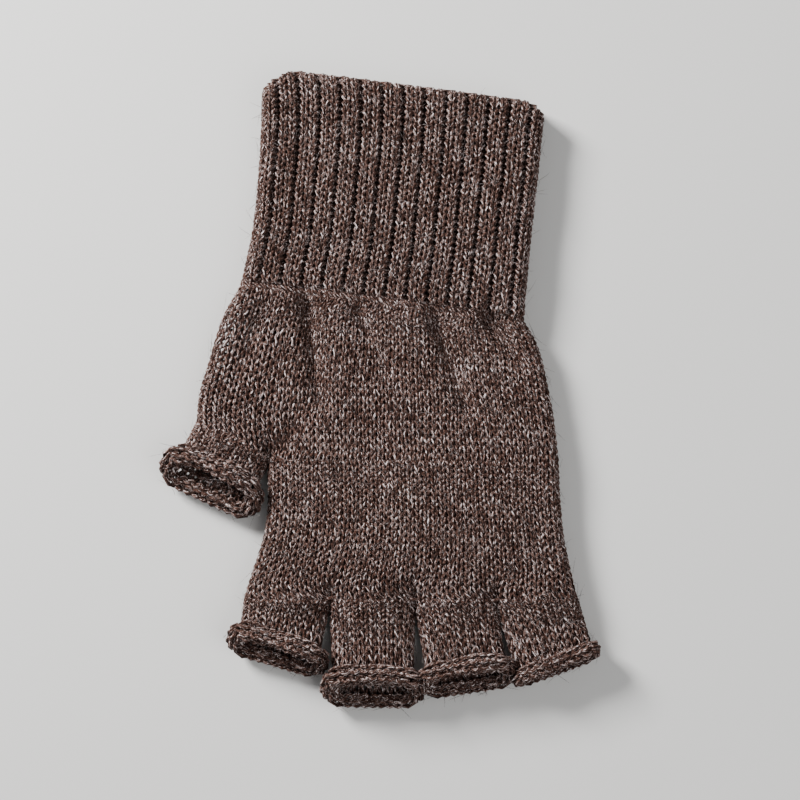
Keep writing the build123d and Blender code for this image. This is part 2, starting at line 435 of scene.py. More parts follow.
def knitting_tree():
    tree, given = geometry_tree("knit yarn", KNIT_INPUTS)
    wales, courses = given["Wales"], given["Courses"]
    index = tree.add("GeometryNodeInputIndex", {}, {}).out(0)
    per_course = wales * POINTS
    course = (index / per_course + ROUNDING).floor()
    wale = (index - course * per_course) / POINTS
    turn = wale * (2 * math.pi)
    across = wale + (turn * 2.0).sine() * given["Pinch"]
    height = course + 0.5 - turn.cosine() * given["Loop height"]
    purl = (wale % given["Rib"]).above(RIB - 1) * given["Rib"].above(0.5)
    front = 1.0 - purl * 2.0
    depth = (turn.cosine() * given["Tuck"] - (turn * 2.0).cosine() * given["Depth"]) * front
    where = tree.vector((across / wales) % 1.0, (height + 1.0) / (courses + 2.0), 0.0)
    vectors = {"data_type": "FLOAT_VECTOR"}
    stitch = tree.add("GeometryNodeInputNamedAttribute", vectors, {"Name": STITCH_MAP}).out(0)
    looked_up = []
    for kind in ("GeometryNodeInputPosition", "GeometryNodeInputNormal"):
        value = tree.add(kind, {}, {}).out(0)
        sampler = tree.add("GeometryNodeSampleUVSurface", vectors, {}).node
        links = {"Mesh": given["Surface"], "Value": value, "UV Map": stitch, "Sample UV": where}
        for key, link in links.items():
            tree.group.links.new(link.socket, active(sampler.inputs, key))
        looked_up.append(Sum(tree, active(sampler.outputs, "Value")))
    place, normal = looked_up
    noise = {"Vector": place, "W": given["Seed"], "Scale": WANDER_SCALE, "Detail": 1.0}
    wander = tree.add("ShaderNodeTexNoise", {"noise_dimensions": "4D"}, noise)
    drift = tree.vectors("SUBTRACT", wander.out("Color"), tree.vector(0.5, 0.5, 0.5))
    drift = tree.vectors("SCALE", drift, given["Unevenness"] * 2.0)
    position = tree.vectors("ADD", place, tree.vectors("SCALE", normal, depth))
    position = tree.vectors("ADD", position, drift)

    def marked(geometry, label, value):
        settings = {"data_type": "FLOAT", "domain": "POINT"}
        kept = {"Geometry": geometry, "Name": label}
        store = tree.add("GeometryNodeStoreNamedAttribute", settings, kept)
        tree.group.links.new(value.socket, active(store.node.inputs, "Value"))
        return store.out(0)

    count = per_course * courses
    points = tree.add("GeometryNodePoints", {}, {"Count": count, "Position": position}).out(0)
    points = marked(marked(points, "along", wale), "course", course)
    rows = tree.add("GeometryNodePointsToCurves", {}, {0: points, 1: course, 2: wale}).out(0)
    closed = tree.add("GeometryNodeSetSplineCyclic", {}, {"Geometry": rows, "Cyclic": True}).out(0)
    size = {"Resolution": SIDES, "Radius": given["Yarn radius"]}
    circle = tree.add("GeometryNodeCurvePrimitiveCircle", {}, size).out(0)
    sweep = {"Curve": closed, "Profile Curve": marked(circle, "around", index / float(SIDES))}
    swept = tree.add("GeometryNodeCurveToMesh", {}, sweep).out(0)
    smooth = tree.add("GeometryNodeSetShadeSmooth", {}, {"Geometry": swept}).out(0)
    real = tree.add("GeometryNodeRealizeInstances", {}, {"Geometry": smooth}).out(0)
    finish = {"Geometry": real, "Material": given["Wool"]}
    dressed = tree.add("GeometryNodeSetMaterial", {}, finish).out(0)
    output = tree.group.nodes.new("NodeGroupOutput")
    tree.group.links.new(dressed.socket, output.inputs[0])
    return tree.group


KNITTING = knitting_tree()
print("knitting tree has", len(KNITTING.nodes), "nodes")

# %% [markdown]
# ## From a tree to a plain mesh
#
# The tree runs on a smooth surface as a modifier. The result is then kept as a plain mesh, and the
# modifier goes. Two maps are laid on the yarn: one in stitches, which the wool reads, and one with a
# strip for each course.


# %% Maps and surfaces
COURSE_STEP = 3.0  # whole turns between the courses in the yarn's map
STRIP, STRIP_EDGE = 0.9, 0.05  # of a course's strip: what is used, and what is left free below it


def add_map(mesh, name, places):
    layer = mesh.uv_layers.new(name=name)
    layer.data.foreach_set("uv", places.reshape(-1, 2).astype(np.float32).ravel())


def linked(name, content):
    """A new object in the scene, for a mesh, a light or a camera."""
    made = bpy.data.objects.new(name, content)
    bpy.context.scene.collection.objects.link(made)
    return made


def surface_object(name, grid):
    """A mesh from rows of points, in millimetres about the drawing origin, with the stitch map."""
    rows, columns = grid.shape[:2]
    points = grid.reshape(-1, 3).copy()
    points[:, :2] += ORIGIN
    corner = np.arange(rows * columns).reshape(rows, columns)
    faces = np.stack([corner[:-1, :-1], corner[1:, :-1], corner[1:, 1:], corner[:-1, 1:]], axis=-1)
    mesh = bpy.data.meshes.new(name)
    mesh.from_pydata(points * MM, [], faces.reshape(-1, 4))
    shares = np.meshgrid(np.linspace(0, 1, columns), np.linspace(0, 1, rows))
    where = np.stack(shares, axis=-1).reshape(-1, 2)
    add_map(mesh, STITCH_MAP, where[faces.reshape(-1)])
    return linked(name, mesh)


print("maps on each knitted piece:", (BAKE_MAP, YARN_MAP))


# %% Running the tree on a surface
def set_inputs(modifier, values):
    for item in modifier.node_group.interface.items_tree:
        if item.in_out == "INPUT" and item.name in values:
            modifier[item.identifier] = values[item.name]


def made_plain(thing, tree, values):
    """Runs a tree on an object, and keeps the result as the object's own plain mesh."""
    modifier = thing.modifiers.new(tree.name, "NODES")
    modifier.node_group = tree
    set_inputs(modifier, values)
    bpy.context.view_layer.update()
    ready = thing.evaluated_get(bpy.context.evaluated_depsgraph_get())
    mesh = bpy.data.meshes.new_from_object(ready)
    thing.modifiers.remove(modifier)
    thing.data = mesh
    return thing


print("inputs of the knitting tree:", list(KNIT_INPUTS))


# %% Laying out the yarn's maps
def read(mesh, name, count):
    values = np.zeros(count, np.float32)
    mesh.attributes[name].data.foreach_get("value", values)
    return values


def unwrapped(values, corners, sides, whole):
    """Corner values, with the faces that close a loop lifted by one whole turn."""
    value = values[corners].reshape(-1, sides)
    wraps = (value.max(1) - value.min(1)) > whole / 2
    value[wraps] += np.where(value[wraps] < whole / 2, whole, 0.0)
    return value


def lay_out(mesh, wales, courses):
    """Gives the yarn its own map, and a second one with a strip for each course for baking."""
    corners = np.zeros(len(mesh.loops), np.int32)
    mesh.loops.foreach_get("vertex_index", corners)
    points = len(mesh.vertices)
    along = unwrapped(read(mesh, "along", points), corners, 4, wales)
    around = unwrapped(read(mesh, "around", points), corners, 4, 1.0)
    course = read(mesh, "course", points)[corners].reshape(-1, 4)
    strip = (course + around * STRIP + STRIP_EDGE) / courses
    add_map(mesh, BAKE_MAP, np.stack([along / (wales + 1), strip], axis=-1))
    add_map(mesh, YARN_MAP, np.stack([along, around + course * COURSE_STEP], axis=-1))
    for label in ("along", "around", "course"):
        mesh.attributes.remove(mesh.attributes[label])


print("share of a strip that is used:", STRIP)


# %% Knitting one piece
def knit(name, grid, wales, courses, material=None, **sizes):
    """One knitted piece over a grid that has one spare course at each end."""
    made = surface_object(name, grid)
    values = {"Wales": wales, "Courses": courses, "Wool": material or PLAIN_WOOL, **sizes}
    made_plain(made, KNITTING, values)
    lay_out(made.data, wales, courses)
    print(name, wales, "wales x", courses, "courses,", len(made.data.polygons) * 2, "triangles")
    return made


# %% [markdown]
# ## The hand
#
# The hand is knitted in two stretches. The heel runs from the wrist to the thumb's crotch, and its
# courses bend there to meet the thumb. The upper palm runs on to the finger roots, where the two layers
# close towards each other between the fingers. Both stretches share the same wales, so the columns run
# through. Soft folds are pressed into the upper face by the valleys listed below.

# %% The hand's outline
WRIST_LEFT, WRIST_RIGHT = np.array([-40.6, 31.4]), np.array([43.6, 20.6])
HEEL_SHARES = [0.0, 0.22, 0.5, 0.76, 1.0]  # from the wrist to the crotch
HEEL_LEFT = [(-40.6, 30.9), (-45.6, 22.4), (-50.2, 8.4), (-53.2, -2.2), (-54.0, -10.2)]
HEEL_THUMB = [(-25.9, 28.9), (-27.2, 20.6), (-30.2, 5.6), (-32.2, -8.2), (-32.5, -20.9)]
HEEL_RIGHT = [(43.6, 20.2), (47.6, 13.2), (50.6, 2.0), (52.8, -9.8), (54.2, -22.4)]
PALM_SHARES = [0.0, 0.3, 0.55, 0.8, 1.0]  # from the crotch to the finger roots
PALM_LEFT = [(-32.5, -20.9), (-32.3, -32.0), (-33.2, -43.0), (-36.6, -54.5), (-39.6, -63.5)]
PALM_RIGHT = [(54.2, -22.4), (54.7, -33.6), (55.7, -44.6), (57.7, -54.8), (60.0, -63.5)]
CROTCHES = (-14.1, 11.1, 35.7)  # between the fingers
ROOT_Y = -63.5  # of every finger's root line
FINGER_ROOTS = [(-39.6, -14.3), (-13.9, 10.9), (11.3, 35.5), (35.9, 60.0)]
HAND_LOW, HAND_HIGH, HAND_CROWN = 1.1, 8.5, 10.7
MID_HEIGHT = 5.2  # mm, where the two layers meet at the thumb's crotch
LAYER_GAP = 0.5  # mm, from there to each layer
THUMB_VALLEY = 3.4  # mm, half width of the valley above the thumb's crotch
CLOSING_START = 0.72  # the share of a stretch at which its layers start to close
print("hand is", round(PALM_RIGHT[-1][0] - PALM_LEFT[-1][0], 1), "mm wide at the finger roots")


def closing_at(share):
    return np.clip((share - CLOSING_START) / (1 - CLOSING_START), 0, 1) ** 2


# %% Soft folds and heights
FOLD_VALLEYS = [  # from, to, depth, width, in millimetres
    ((-22.0, 29.5), (-17.0, -4.0), 5.4, 3.2),
    ((-7.0, 27.0), (2.0, 5.0), 3.2, 3.0),
    ((16.0, 24.5), (27.0, -6.0), 4.8, 3.3),
    ((31.0, 22.5), (43.0, 9.0), 4.6, 3.0),
    ((-33.0, 28.0), (-42.0, 3.0), 2.8, 3.0),
    ((-29.0, -21.0), (-23.0, -6.0), 2.4, 3.4),
]


def pressed(outline):
    """How deep the soft folds press the upper face at each point."""
    plan, depth = outline[:, :2], np.zeros(len(outline))
    for start, end, deep, wide in FOLD_VALLEYS:
        a, run = np.array(start), np.array(end) - np.array(start)
        t = np.clip((plan - a) @ run / (run @ run), 0, 1)
        away = np.linalg.norm(plan - a - t[:, None] * run, axis=1)
        fading = (1 - 0.5 * t) * np.clip((t + 0.03) / 0.18, 0, 1)
        depth += deep * np.exp(-((away / wide) ** 2)) * fading
    x, y = plan[:, 0], plan[:, 1]
    return depth + 0.35 * np.sin(x / 6.1 + y / 9.3) * np.sin(y / 7.7 - x / 13.0)


def finger_height(x, upper):
    """The height of the four finger tubes side by side at their roots."""
    turn = (HAND_HIGH - HAND_LOW) / 2
    height = np.full(len(x), HAND_LOW + turn)
    for left, right in FINGER_ROOTS:
        inner = np.clip(np.minimum(x - left, right - x) / turn, 0, 1)
        flat = np.clip((x - (left + right) / 2) / ((right - left) / 2 - turn), -1, 1)
        round_part = turn * np.sqrt(1 - (1 - inner) ** 2)
        crowned = round_part + (HAND_CROWN - HAND_HIGH) * (1 - flat**2)
        height += np.where(upper, crowned, -round_part) * (inner > 0)
    return height


def hand_heights(closing, crotch=None):
    """The hand's heights. Closing draws the layers together at the thumb's crotch or the fingers'."""

    def shape(outline, upper):
        z = outline[:, 2]
        rim = np.clip((z - HAND_LOW) / (HAND_HIGH - HAND_LOW), 0, 1)
        z = z - np.where(upper, pressed(outline) * rim, 0.0)
        if crotch is None:
            return z + closing * (finger_height(outline[:, 0], upper) - z)
        near = np.exp(-(np.sum((outline[:, :2] - crotch) ** 2, axis=1) / THUMB_VALLEY**2))
        return z + closing * near * (MID_HEIGHT + np.where(upper, LAYER_GAP, -LAYER_GAP) - z)

    return shape


print("soft folds pressed into the hand:", len(FOLD_VALLEYS))

# %% Heel and palm
THUMB_BULGE = 1.4  # mm, beside the thumb's crotch, fading towards the fingers


def heel_grid():
    shares = 1 - (np.arange(HEEL_COURSES + 3) - 1) / HEEL_COURSES
    edges = (through(shares, HEEL_SHARES, edge) for edge in (HEEL_LEFT, HEEL_THUMB, HEEL_RIGHT))
    rows = []
    for share, left, thumb, right in zip(shares, *edges):
        line = plan_line(left, thumb, right)
        heights = hand_heights(closing_at(share), thumb)
        outline, places, upper = ring(line, HAND_LOW, HAND_HIGH, HAND_CROWN, heights)
        split = (np.linalg.norm(thumb - left), PALM_FACE_WALES)
        rows.append(spaced(outline, places, upper, HEEL_WALES, split))
    return np.array(rows)


def palm_grid():
    shares = 1 - (np.arange(PALM_COURSES + 3) - 1) / PALM_COURSES
    edges = (through(shares, PALM_SHARES, edge) for edge in (PALM_LEFT, PALM_RIGHT))
    rows = []
    for share, left, right in zip(shares, *edges):
        heights = hand_heights(closing_at(share))
        outline, places, upper = ring(plan_line(left, right), HAND_LOW, HAND_HIGH, HAND_CROWN, heights)
        bulge = THUMB_BULGE * np.clip(1 - share / 0.4, 0, 1) ** 2
        outline[:, 2] += upper * bulge * np.clip((places - 2) / 5, 0, 1) * np.exp(-places / 16)
        rows.append(spaced(outline, places, upper, PALM_WALES))
    return np.array(rows)


def courses_of(grid, first, last):
    """The rows for courses first to last, with the spare course at each end."""
    return grid[first : last + 3]


heel, palm = heel_grid(), palm_grid()
HALF_HEEL = HEEL_COURSES // 2
by_thumb, by_wrist = courses_of(heel, 0, HALF_HEEL), courses_of(heel, HALF_HEEL, HEEL_COURSES)
heel_lower = knit("hand_heel_by_thumb", by_thumb, HEEL_WALES, HALF_HEEL, Seed=1.0)
heel_upper = knit("hand_heel_by_wrist", by_wrist, HEEL_WALES, HEEL_COURSES - HALF_HEEL, Seed=2.0)
palm_knit = knit("hand_palm", palm, PALM_WALES, PALM_COURSES, Seed=3.0)

# %% [markdown]
# ## The cuff
#
# The cuff is a rib: two knit wales stand forward and one purl wale sinks between them, which is
# what makes it stretch. The smooth surface under it is fluted first, so that the yarn only has to
# follow it, and the third wale of each rib is knitted to the back.

# %% Cuff surfaces
CUFF_SHARES = [0.0, 0.25, 0.5, 0.75, 1.0]  # from the wrist to the open end
CUFF_LEFT = [(-39.9, 33.2), (-36.8, 48.0), (-35.1, 63.6), (-34.2, 79.2), (-33.9, 95.0)]
CUFF_RIGHT = [(43.5, 22.0), (44.8, 37.5), (46.4, 53.0), (48.1, 68.5), (49.5, 84.2)]
CUFF_LOW, CUFF_HIGH, CUFF_CROWN = 1.5, 9.4, 10.8
RIB_DEPTH = 3.0  # mm, from the ribs' face to the purl wale's
RIB_STAND = 0.35  # mm, by which the two knit wales stand out
FURROW = 0.12  # a furrow's half width, in ribs
KNIT_PLACES = [0.04, 0.45, 0.86, 0.95, 1.04]  # where a rib's wales are drawn to


def fluted(grid, depth):
    """Sinks every third wale of a grid and draws the two beside it together."""
    count = np.arange(grid.shape[1]) / QUARTERS
    step = (count % RIB) / RIB
    groove = np.exp(-(((step - 2.5 / RIB) / FURROW) ** 2))
    warp = np.interp(step, [0, 1 / RIB, 2 / RIB, 2.5 / RIB, 1], KNIT_PLACES)
    shifted = (count - count % RIB + warp * RIB) * QUARTERS
    columns = np.arange(grid.shape[1])
    out = []
    for row in grid:
        moved = np.stack([np.interp(shifted, columns, row[:, k]) for k in range(3)], axis=1)
        along = np.gradient(moved, axis=0)
        outward = np.stack([along[:, 2], np.zeros(len(moved)), -along[:, 0]], axis=1)
        outward /= np.maximum(np.linalg.norm(outward, axis=1, keepdims=True), 1e-9)
        out.append(moved + outward * (RIB_STAND - depth * groove)[:, None])
    return np.array(out)


def cuff_grid():
    shares = (np.arange(CUFF_COURSES + 3) - 1) / CUFF_COURSES
    edges = (through(shares, CUFF_SHARES, edge) for edge in (CUFF_LEFT, CUFF_RIGHT))
    rows = []
    for share, left, right in zip(shares, *edges):
        line = plan_line(left, right)
        dip = np.clip((share - 0.72) / 0.28, 0, 1.2)  # the open end's corners are rounded
        reach = np.linspace(0, np.linalg.norm(right - left), len(line))
        left_corner = 6.0 * np.exp(-((reach / 5.0) ** 2))
        right_corner = 2.5 * np.exp(-(((reach[-1] - reach) / 3.0) ** 2))
        line[:, 1] -= (left_corner + right_corner) * dip**2 * 0.9
        outline, places, upper = ring(line, CUFF_LOW, CUFF_HIGH, CUFF_CROWN, hand_heights(0))
        rows.append(spaced(outline, places, upper, CUFF_WALES))
    return fluted(np.array(rows), RIB_DEPTH)


cuff = cuff_grid()
HALF_CUFF = CUFF_COURSES // 2
cuff_halves = courses_of(cuff, 0, HALF_CUFF), courses_of(cuff, HALF_CUFF, CUFF_COURSES)
ribbed, last_courses = {"Rib": float(RIB)}, CUFF_COURSES - HALF_CUFF
cuff_start = knit("cuff_ribs_by_wrist", cuff_halves[0], CUFF_WALES, HALF_CUFF, **ribbed, Seed=4.0)
cuff_end = knit("cuff_ribs_by_edge", cuff_halves[1], CUFF_WALES, last_courses, **ribbed, Seed=5.0)

# %% [markdown]
# ## Rolled rims and the cuff's lip
#
# Plain knitting curls towards its face, so every cast-off finger rolls outwards and shows its
# reverse, the row of loop heads. A rim is the tube's last ring carried round a small circle. The
# cuff's last two courses turn inwards the same way, which gives the soft scalloped lip.

# %% Rolling a ring's edge
ROLL_TURN = math.radians(285)
LIP_TURN = math.radians(150)


def unit(vectors):
    return vectors / np.maximum(np.linalg.norm(vectors, axis=-1, keepdims=True), 1e-9)


def rolled(edge, behind, radius, turn, courses, side):
    """Rows on a roll that starts at the edge ring. side is 1 to roll out, -1 to roll in."""
    axial = unit(edge - behind)
    tangent = np.gradient(np.concatenate([edge[-3:-1], edge, edge[1:3]]), axis=0)[2:-2]
    outward = unit(np.cross(tangent, axial))
    if outward[len(outward) // 4][2] < 0:
        outward = -outward
    rows = []
    for angle in (np.arange(courses + 3) - 1) / courses * turn:
        reach = math.sin(angle) if angle > 0 else angle
        lift = 1 - math.cos(angle) if angle > 0 else 0.0
        rolled_on = outward * (lift * radius * side)[:, None]
        rows.append(edge + axial * (reach * radius)[:, None] + rolled_on)
    return np.array(rows)


for rolled_edge, turn in (("rims", ROLL_TURN), ("the lip", LIP_TURN)):
    print(rolled_edge, "roll through", round(math.degrees(turn)), "degrees")

# %% [markdown]
# ## Thumb and fingers
#
# A finger's tube is as wide as its share of the hand at its root and turns towards its own mouth.
# The lower face lies on the table, the rim lifts it off by its own thickness, and the upper lip
# leans back, so that one looks down into the mouth.

# %% Thumb and finger sizes
# The heading, the mouth line's slope and the mouth's lean are in degrees, the sizes in millimetres.
STUB_SIZES = ["root", "heading", "slope", "length", "mouth", "lean", "roll", "courses"]
Stub = namedtuple("Stub", STUB_SIZES)
FINGER_LINES = [((left, ROOT_Y), (right, ROOT_Y)) for left, right in FINGER_ROOTS]
STUBS = {
    "thumb": Stub(((-54.0, -10.2), (-32.5, -20.9)), -27.5, -25.0, 17.4, 24.0, 62.0, 2.2, 8),
    "index_finger": Stub(FINGER_LINES[0], -11.0, -17.0, 17.8, 23.3, 52.0, 2.1, 7),
    "middle_finger": Stub(FINGER_LINES[1], 0.6, -1.0, 29.8, 22.6, 62.0, 2.2, 11),
    "ring_finger": Stub(FINGER_LINES[2], 9.3, 8.5, 26.0, 22.3, 56.0, 2.1, 10),
    "little_finger": Stub(FINGER_LINES[3], 16.8, 21.0, 21.6, 23.0, 26.0, 1.6, 9),
}
SIDE_ROLL = 0.55  # a rim rolls less where the tube turns at its sides
MOUTH_RISE = 3.2  # mm, between the middle surfaces of a mouth's two lips
MOUTH_CROWN = 0.7  # mm, by which the upper lip is arched
STUB_EASE = 1.4  # above 1, a tube keeps its root's shape longer
for name, stub in STUBS.items():
    print(name, dict(zip(STUB_SIZES[1:], stub[1:])))


# %% Thumb and finger surfaces
def stub_rings(stub, shares):
    left, right = np.array(stub.root)
    turn, tilt = math.radians(stub.heading), math.radians(stub.slope)
    ahead = np.array([math.sin(turn), -math.cos(turn)])
    end = (left + right) / 2 + ahead * stub.length
    across = np.array([math.cos(tilt), math.sin(tilt)]) * stub.mouth / 2
    rings = []
    for share in shares:
        ease = share**STUB_EASE if share > 0 else share
        line = plan_line(left + (end - across - left) * ease, right + (end + across - right) * ease)
        low = HAND_LOW + 2 * stub.roll * ease**2
        high = HAND_HIGH + (low + MOUTH_RISE - HAND_HIGH) * min(ease, 1.0)
        crown = high + (HAND_CROWN - HAND_HIGH) * (1 - min(ease, 1.0)) + MOUTH_CROWN * ease
        outline, places, upper = ring(line, low, high, crown)
        back = (outline[:, 2] - low) * math.tan(math.radians(stub.lean)) * max(share, 0) ** 2
        outline[:, :2] -= ahead * back[:, None]
        rings.append(spaced(outline, places, upper, FINGER_WALES))
    return np.array(rings)


def stub_grids(name):
    stub = STUBS[name]
    tube = stub_rings(stub, 1 - (np.arange(stub.courses + 3) - 1) / stub.courses)
    edge, behind = stub_rings(stub, [1.0, 1.0 - 1.0 / stub.courses])
    place = np.linspace(0, 2 * math.pi, len(edge))
    uneven = 1 + 0.10 * np.sin(place * 3 + len(name)) + 0.07 * np.sin(place * 5 + 2.0)
    uneven = 1 + (uneven - 1) * (edge[:, 2] > edge[:, 2].mean())
    level = np.linalg.norm(unit(np.gradient(edge, axis=0))[:, :2], axis=1)
    uneven *= SIDE_ROLL + (1 - SIDE_ROLL) * level**2
    return tube, rolled(edge, behind, stub.roll * uneven, ROLL_TURN, ROLL_COURSES, 1)[::-1]


tubes, rims = {}, {}
for number, name in enumerate(STUBS):
    tube, rim = stub_grids(name)
    thick = {"Yarn radius": STUB_YARN * MM, "Seed": 10.0 + number}
    tubes[name] = knit(name + "_knit", tube, FINGER_WALES, STUBS[name].courses, **thick)
    thick = {"Yarn radius": RIM_YARN * MM, "Seed": 20.0 + number}
    # The rims take the dimmed wool: painted shade on the rolled rims.
    rims[name] = knit(name + "_rim", rim, FINGER_WALES, ROLL_COURSES, RIM_WOOL_PAINTED_SHADE, **thick)

# %% [markdown]
# ## Where the sections meet
#
# At the wrist one drawn-in row changes the ribs into plain stitches. The cuff ends in its lip.
# Between two fingers a few gathered strands close the gap, as a knitter does with the yarn's tail.


# %% Wrist row and cuff lip
WRIST_COURSES, LIP_COURSES = 1, 2
WRIST_REACHES = (-2.6, -0.5, 1.6, 3.7)  # mm past the wrist line, with a spare course at each end
WRIST_EASE = 0.1  # mm, by which the row's ring is flatter than the hand's
LIP_RADIUS = 1.15  # mm


def wrist_grid():
    rows = []
    for reach in WRIST_REACHES:
        line = plan_line(WRIST_LEFT + (0.0, reach), WRIST_RIGHT + (0.0, reach))
        high, crown = HAND_HIGH + WRIST_EASE, HAND_CROWN - WRIST_EASE
        outline, places, upper = ring(line, CUFF_LOW, high, crown, hand_heights(0))
        rows.append(spaced(outline, places, upper, CUFF_WALES))
    return np.array(rows)


wrist_row = knit("wrist_row", wrist_grid(), CUFF_WALES, WRIST_COURSES, Seed=6.0)
lip_size = np.full(cuff.shape[1], LIP_RADIUS)
lip_grid = rolled(cuff[CUFF_COURSES + 1], cuff[CUFF_COURSES], lip_size, LIP_TURN, LIP_COURSES, -1)
lip = knit("cuff_lip", lip_grid, CUFF_WALES, LIP_COURSES, **ribbed, Seed=7.0)


# %% Loose strands
ODD_WAY = np.array([0.31, 0.17, 0.93])  # a direction that no strand follows
STRAND_SWELL = (0.25, 0.9)  # the stretch of a sine wave that a strand's thickness follows


def strands(name, lines, radii, sides, material):
    """Small tubes along lines of points. The baked map gives each tube its own strip."""
    lines = np.array(lines, float)
    count, points = lines.shape[:2]
    ahead = unit(np.gradient(lines, axis=1))
    aside = unit(np.cross(ahead, ODD_WAY))
    upward = np.cross(ahead, aside)
    corner = np.arange(sides) / sides * (2 * math.pi)
    swell = np.sin(np.linspace(*STRAND_SWELL, points) * math.pi)
    thick = radii[:, None, None, None] * swell[:, None, None]
    round_it = aside[:, :, None] * np.cos(corner)[:, None] + upward[:, :, None] * np.sin(corner)[:, None]
    vertices = (lines[:, :, None] + round_it * thick).reshape(-1, 3)
    vertices[:, :2] += ORIGIN
    index = np.arange(count * points * sides).reshape(count, points, sides)
    beside = np.roll(index, -1, axis=2)
    corners = [index[:, :-1], beside[:, :-1], beside[:, 1:], index[:, 1:]]
    faces = np.stack(corners, axis=-1).reshape(-1, 4)
    mesh = bpy.data.meshes.new(name)
    mesh.from_pydata(vertices * MM, [], faces)
    along = np.broadcast_to(np.arange(points)[None, :, None], index.shape)
    around = np.broadcast_to(np.arange(sides)[None, None, :], index.shape)
    tube = np.broadcast_to(np.arange(count)[:, None, None], index.shape)
    u = np.stack([along[:, :-1], along[:, :-1], along[:, 1:], along[:, 1:]], axis=-1) / (points - 1)
    first = around[:, :-1]
    v = np.stack([first, first + 1, first + 1, first], axis=-1) / sides
    own = tube[:, :-1, :, None]
    add_map(mesh, BAKE_MAP, np.stack([u, (own + v * STRIP + STRIP_EDGE) / count], axis=-1))
    add_map(mesh, YARN_MAP, np.stack([u * 1.5 + own * 0.37, v + own * COURSE_STEP], axis=-1))
    mesh.materials.append(material)
    mesh.polygons.foreach_set("use_smooth", np.ones(len(faces), bool))
    return linked(name, mesh)


print("a strand is thinner at its ends by a share of", round(1 - math.sin(STRAND_SWELL[0] * math.pi), 2))

# %% Gathered stitches between the fingers
GATHERED = 7  # strands in each gap, one above another
GATHER_LOW, GATHER_STEP = 2.2, 0.95  # mm, the lowest strand's height and the step to the next
GATHER_Y = -62.6
GATHER_HALF = 2.1  # mm, half of a strand's length
GATHER_RADIUS = 0.52  # mm
PAIRS = ("index_middle", "middle_ring", "ring_little")


def crotch_strands(x, seed):
    chance = np.random.default_rng(seed)
    lines = []
    for k in range(GATHERED):
        t = np.linspace(-1, 1, 9)
        height = GATHER_LOW + GATHER_STEP * k
        lean = chance.uniform(-0.8, 0.8)
        bow = GATHER_Y - 0.7 * chance.random() - 0.7 * (1 - t**2)
        arch = height + 0.6 * t * lean + 0.3 * (1 - t**2)
        lines.append(np.stack([x + GATHER_HALF * t, bow + lean * t, arch], axis=1))
    return lines


joins, thickness = {}, np.full(GATHERED, GATHER_RADIUS)
for number, (pair, x) in enumerate(zip(PAIRS, CROTCHES)):
    lines = crotch_strands(x, 40 + number)
    joins[pair] = strands(pair + "_stitches", lines, thickness, 8, PLAIN_WOOL)
print("crotch stitches at", CROTCHES)

# %% [markdown]
# ## Stray fibres
#
# Wool sheds fine hairs, and they catch the light along every edge. Each hair starts on the
# fabric, lies almost flat and lifts at its end. Only a few dozen faces go into each.


# %% Hairs
# The hairs' wool shows more pale hair than the yarn: partly the pale hairs spun into it, partly a
# painted highlight for the halo the hairs make where they catch the light.
STRAY_FIBRE = wool("stray_fibre", 1.0, 2.6)
HAIRS_ON_SQUARE = 0.07  # hairs for each square millimetre
HAIR_LENGTHS, HAIR_RADII = (1.5, 6.5), (0.035, 0.075)  # mm, shortest and longest, thinnest and thickest
FACE_RISE = 1.2  # mm, from the fabric's middle surface to where a hair leaves it
TABLE_GAP = 0.15  # mm, the lowest that a hair may lie


def hairs(name, grid, seed, side=1.0):
    chance = np.random.default_rng(seed)
    rows, columns = grid.shape[:2]
    edges = np.cross(np.diff(grid, axis=0)[:, 1:], np.diff(grid, axis=1)[1:])
    count = int(HAIRS_ON_SQUARE * np.linalg.norm(edges, axis=-1).sum())
    row, column = chance.integers(1, rows - 1, count), chance.integers(1, columns - 1, count)
    along = unit(grid[row + 1, column] - grid[row - 1, column])
    across = unit(grid[row, column + 1] - grid[row, column - 1])
    out = unit(np.cross(along, across)) * side
    turn = chance.uniform(0, 2 * math.pi, count)[:, None]
    heading = across * np.cos(turn) + along * np.sin(turn)
    bend = along * np.cos(turn) - across * np.sin(turn)
    length = chance.uniform(*HAIR_LENGTHS, count)[:, None]
    curl = chance.uniform(-0.35, 0.35, count)[:, None]
    lift = chance.uniform(0.02, 0.30, count)[:, None]
    t = np.linspace(0, 1, 5)[:, None, None]
    flat = heading * t + bend * curl * t**2 + out * lift * t**1.5
    lines = np.transpose(grid[row, column] + out * FACE_RISE + flat * length, (1, 0, 2))
    lines[..., 2] = np.maximum(lines[..., 2], TABLE_GAP)
    return strands(name + "_hairs", lines, chance.uniform(*HAIR_RADII, count), 3, STRAY_FIBRE)


hand_hairs = hairs("hand", palm[1:-1], 60)
heel_hairs = hairs("heel", heel[1:-1], 61)
cuff_start_hairs = hairs("cuff_by_wrist", cuff_halves[0][1:-1], 62)
cuff_end_hairs = hairs("cuff_by_edge", cuff_halves[1][1:-1], 63)
tube_hairs, rim_hairs = {}, {}
for number, name in enumerate(STUBS):
    tube, rim = stub_grids(name)
    tube_hairs[name] = hairs(name + "_knit", tube[1:-1], 70 + number)
    rim_hairs[name] = hairs(name + "_rim", rim[1:-1], 80 + number, -1.0)
print("hair pieces", 4 + 2 * len(STUBS))

# %% [markdown]
# ## Joining the pieces to the moving bodies
#
# Each piece follows one body, except where the cloth crosses a fold. There it should bend smoothly from
# one body to the next, since a rigid ride would tear the stitches apart at the fold line. The bend would
# be spread over 20 mm at the wrist and over 13 mm at a finger, which cloth this thick needs; here its
# ends are only worked out, and those pieces stay in place without a body.

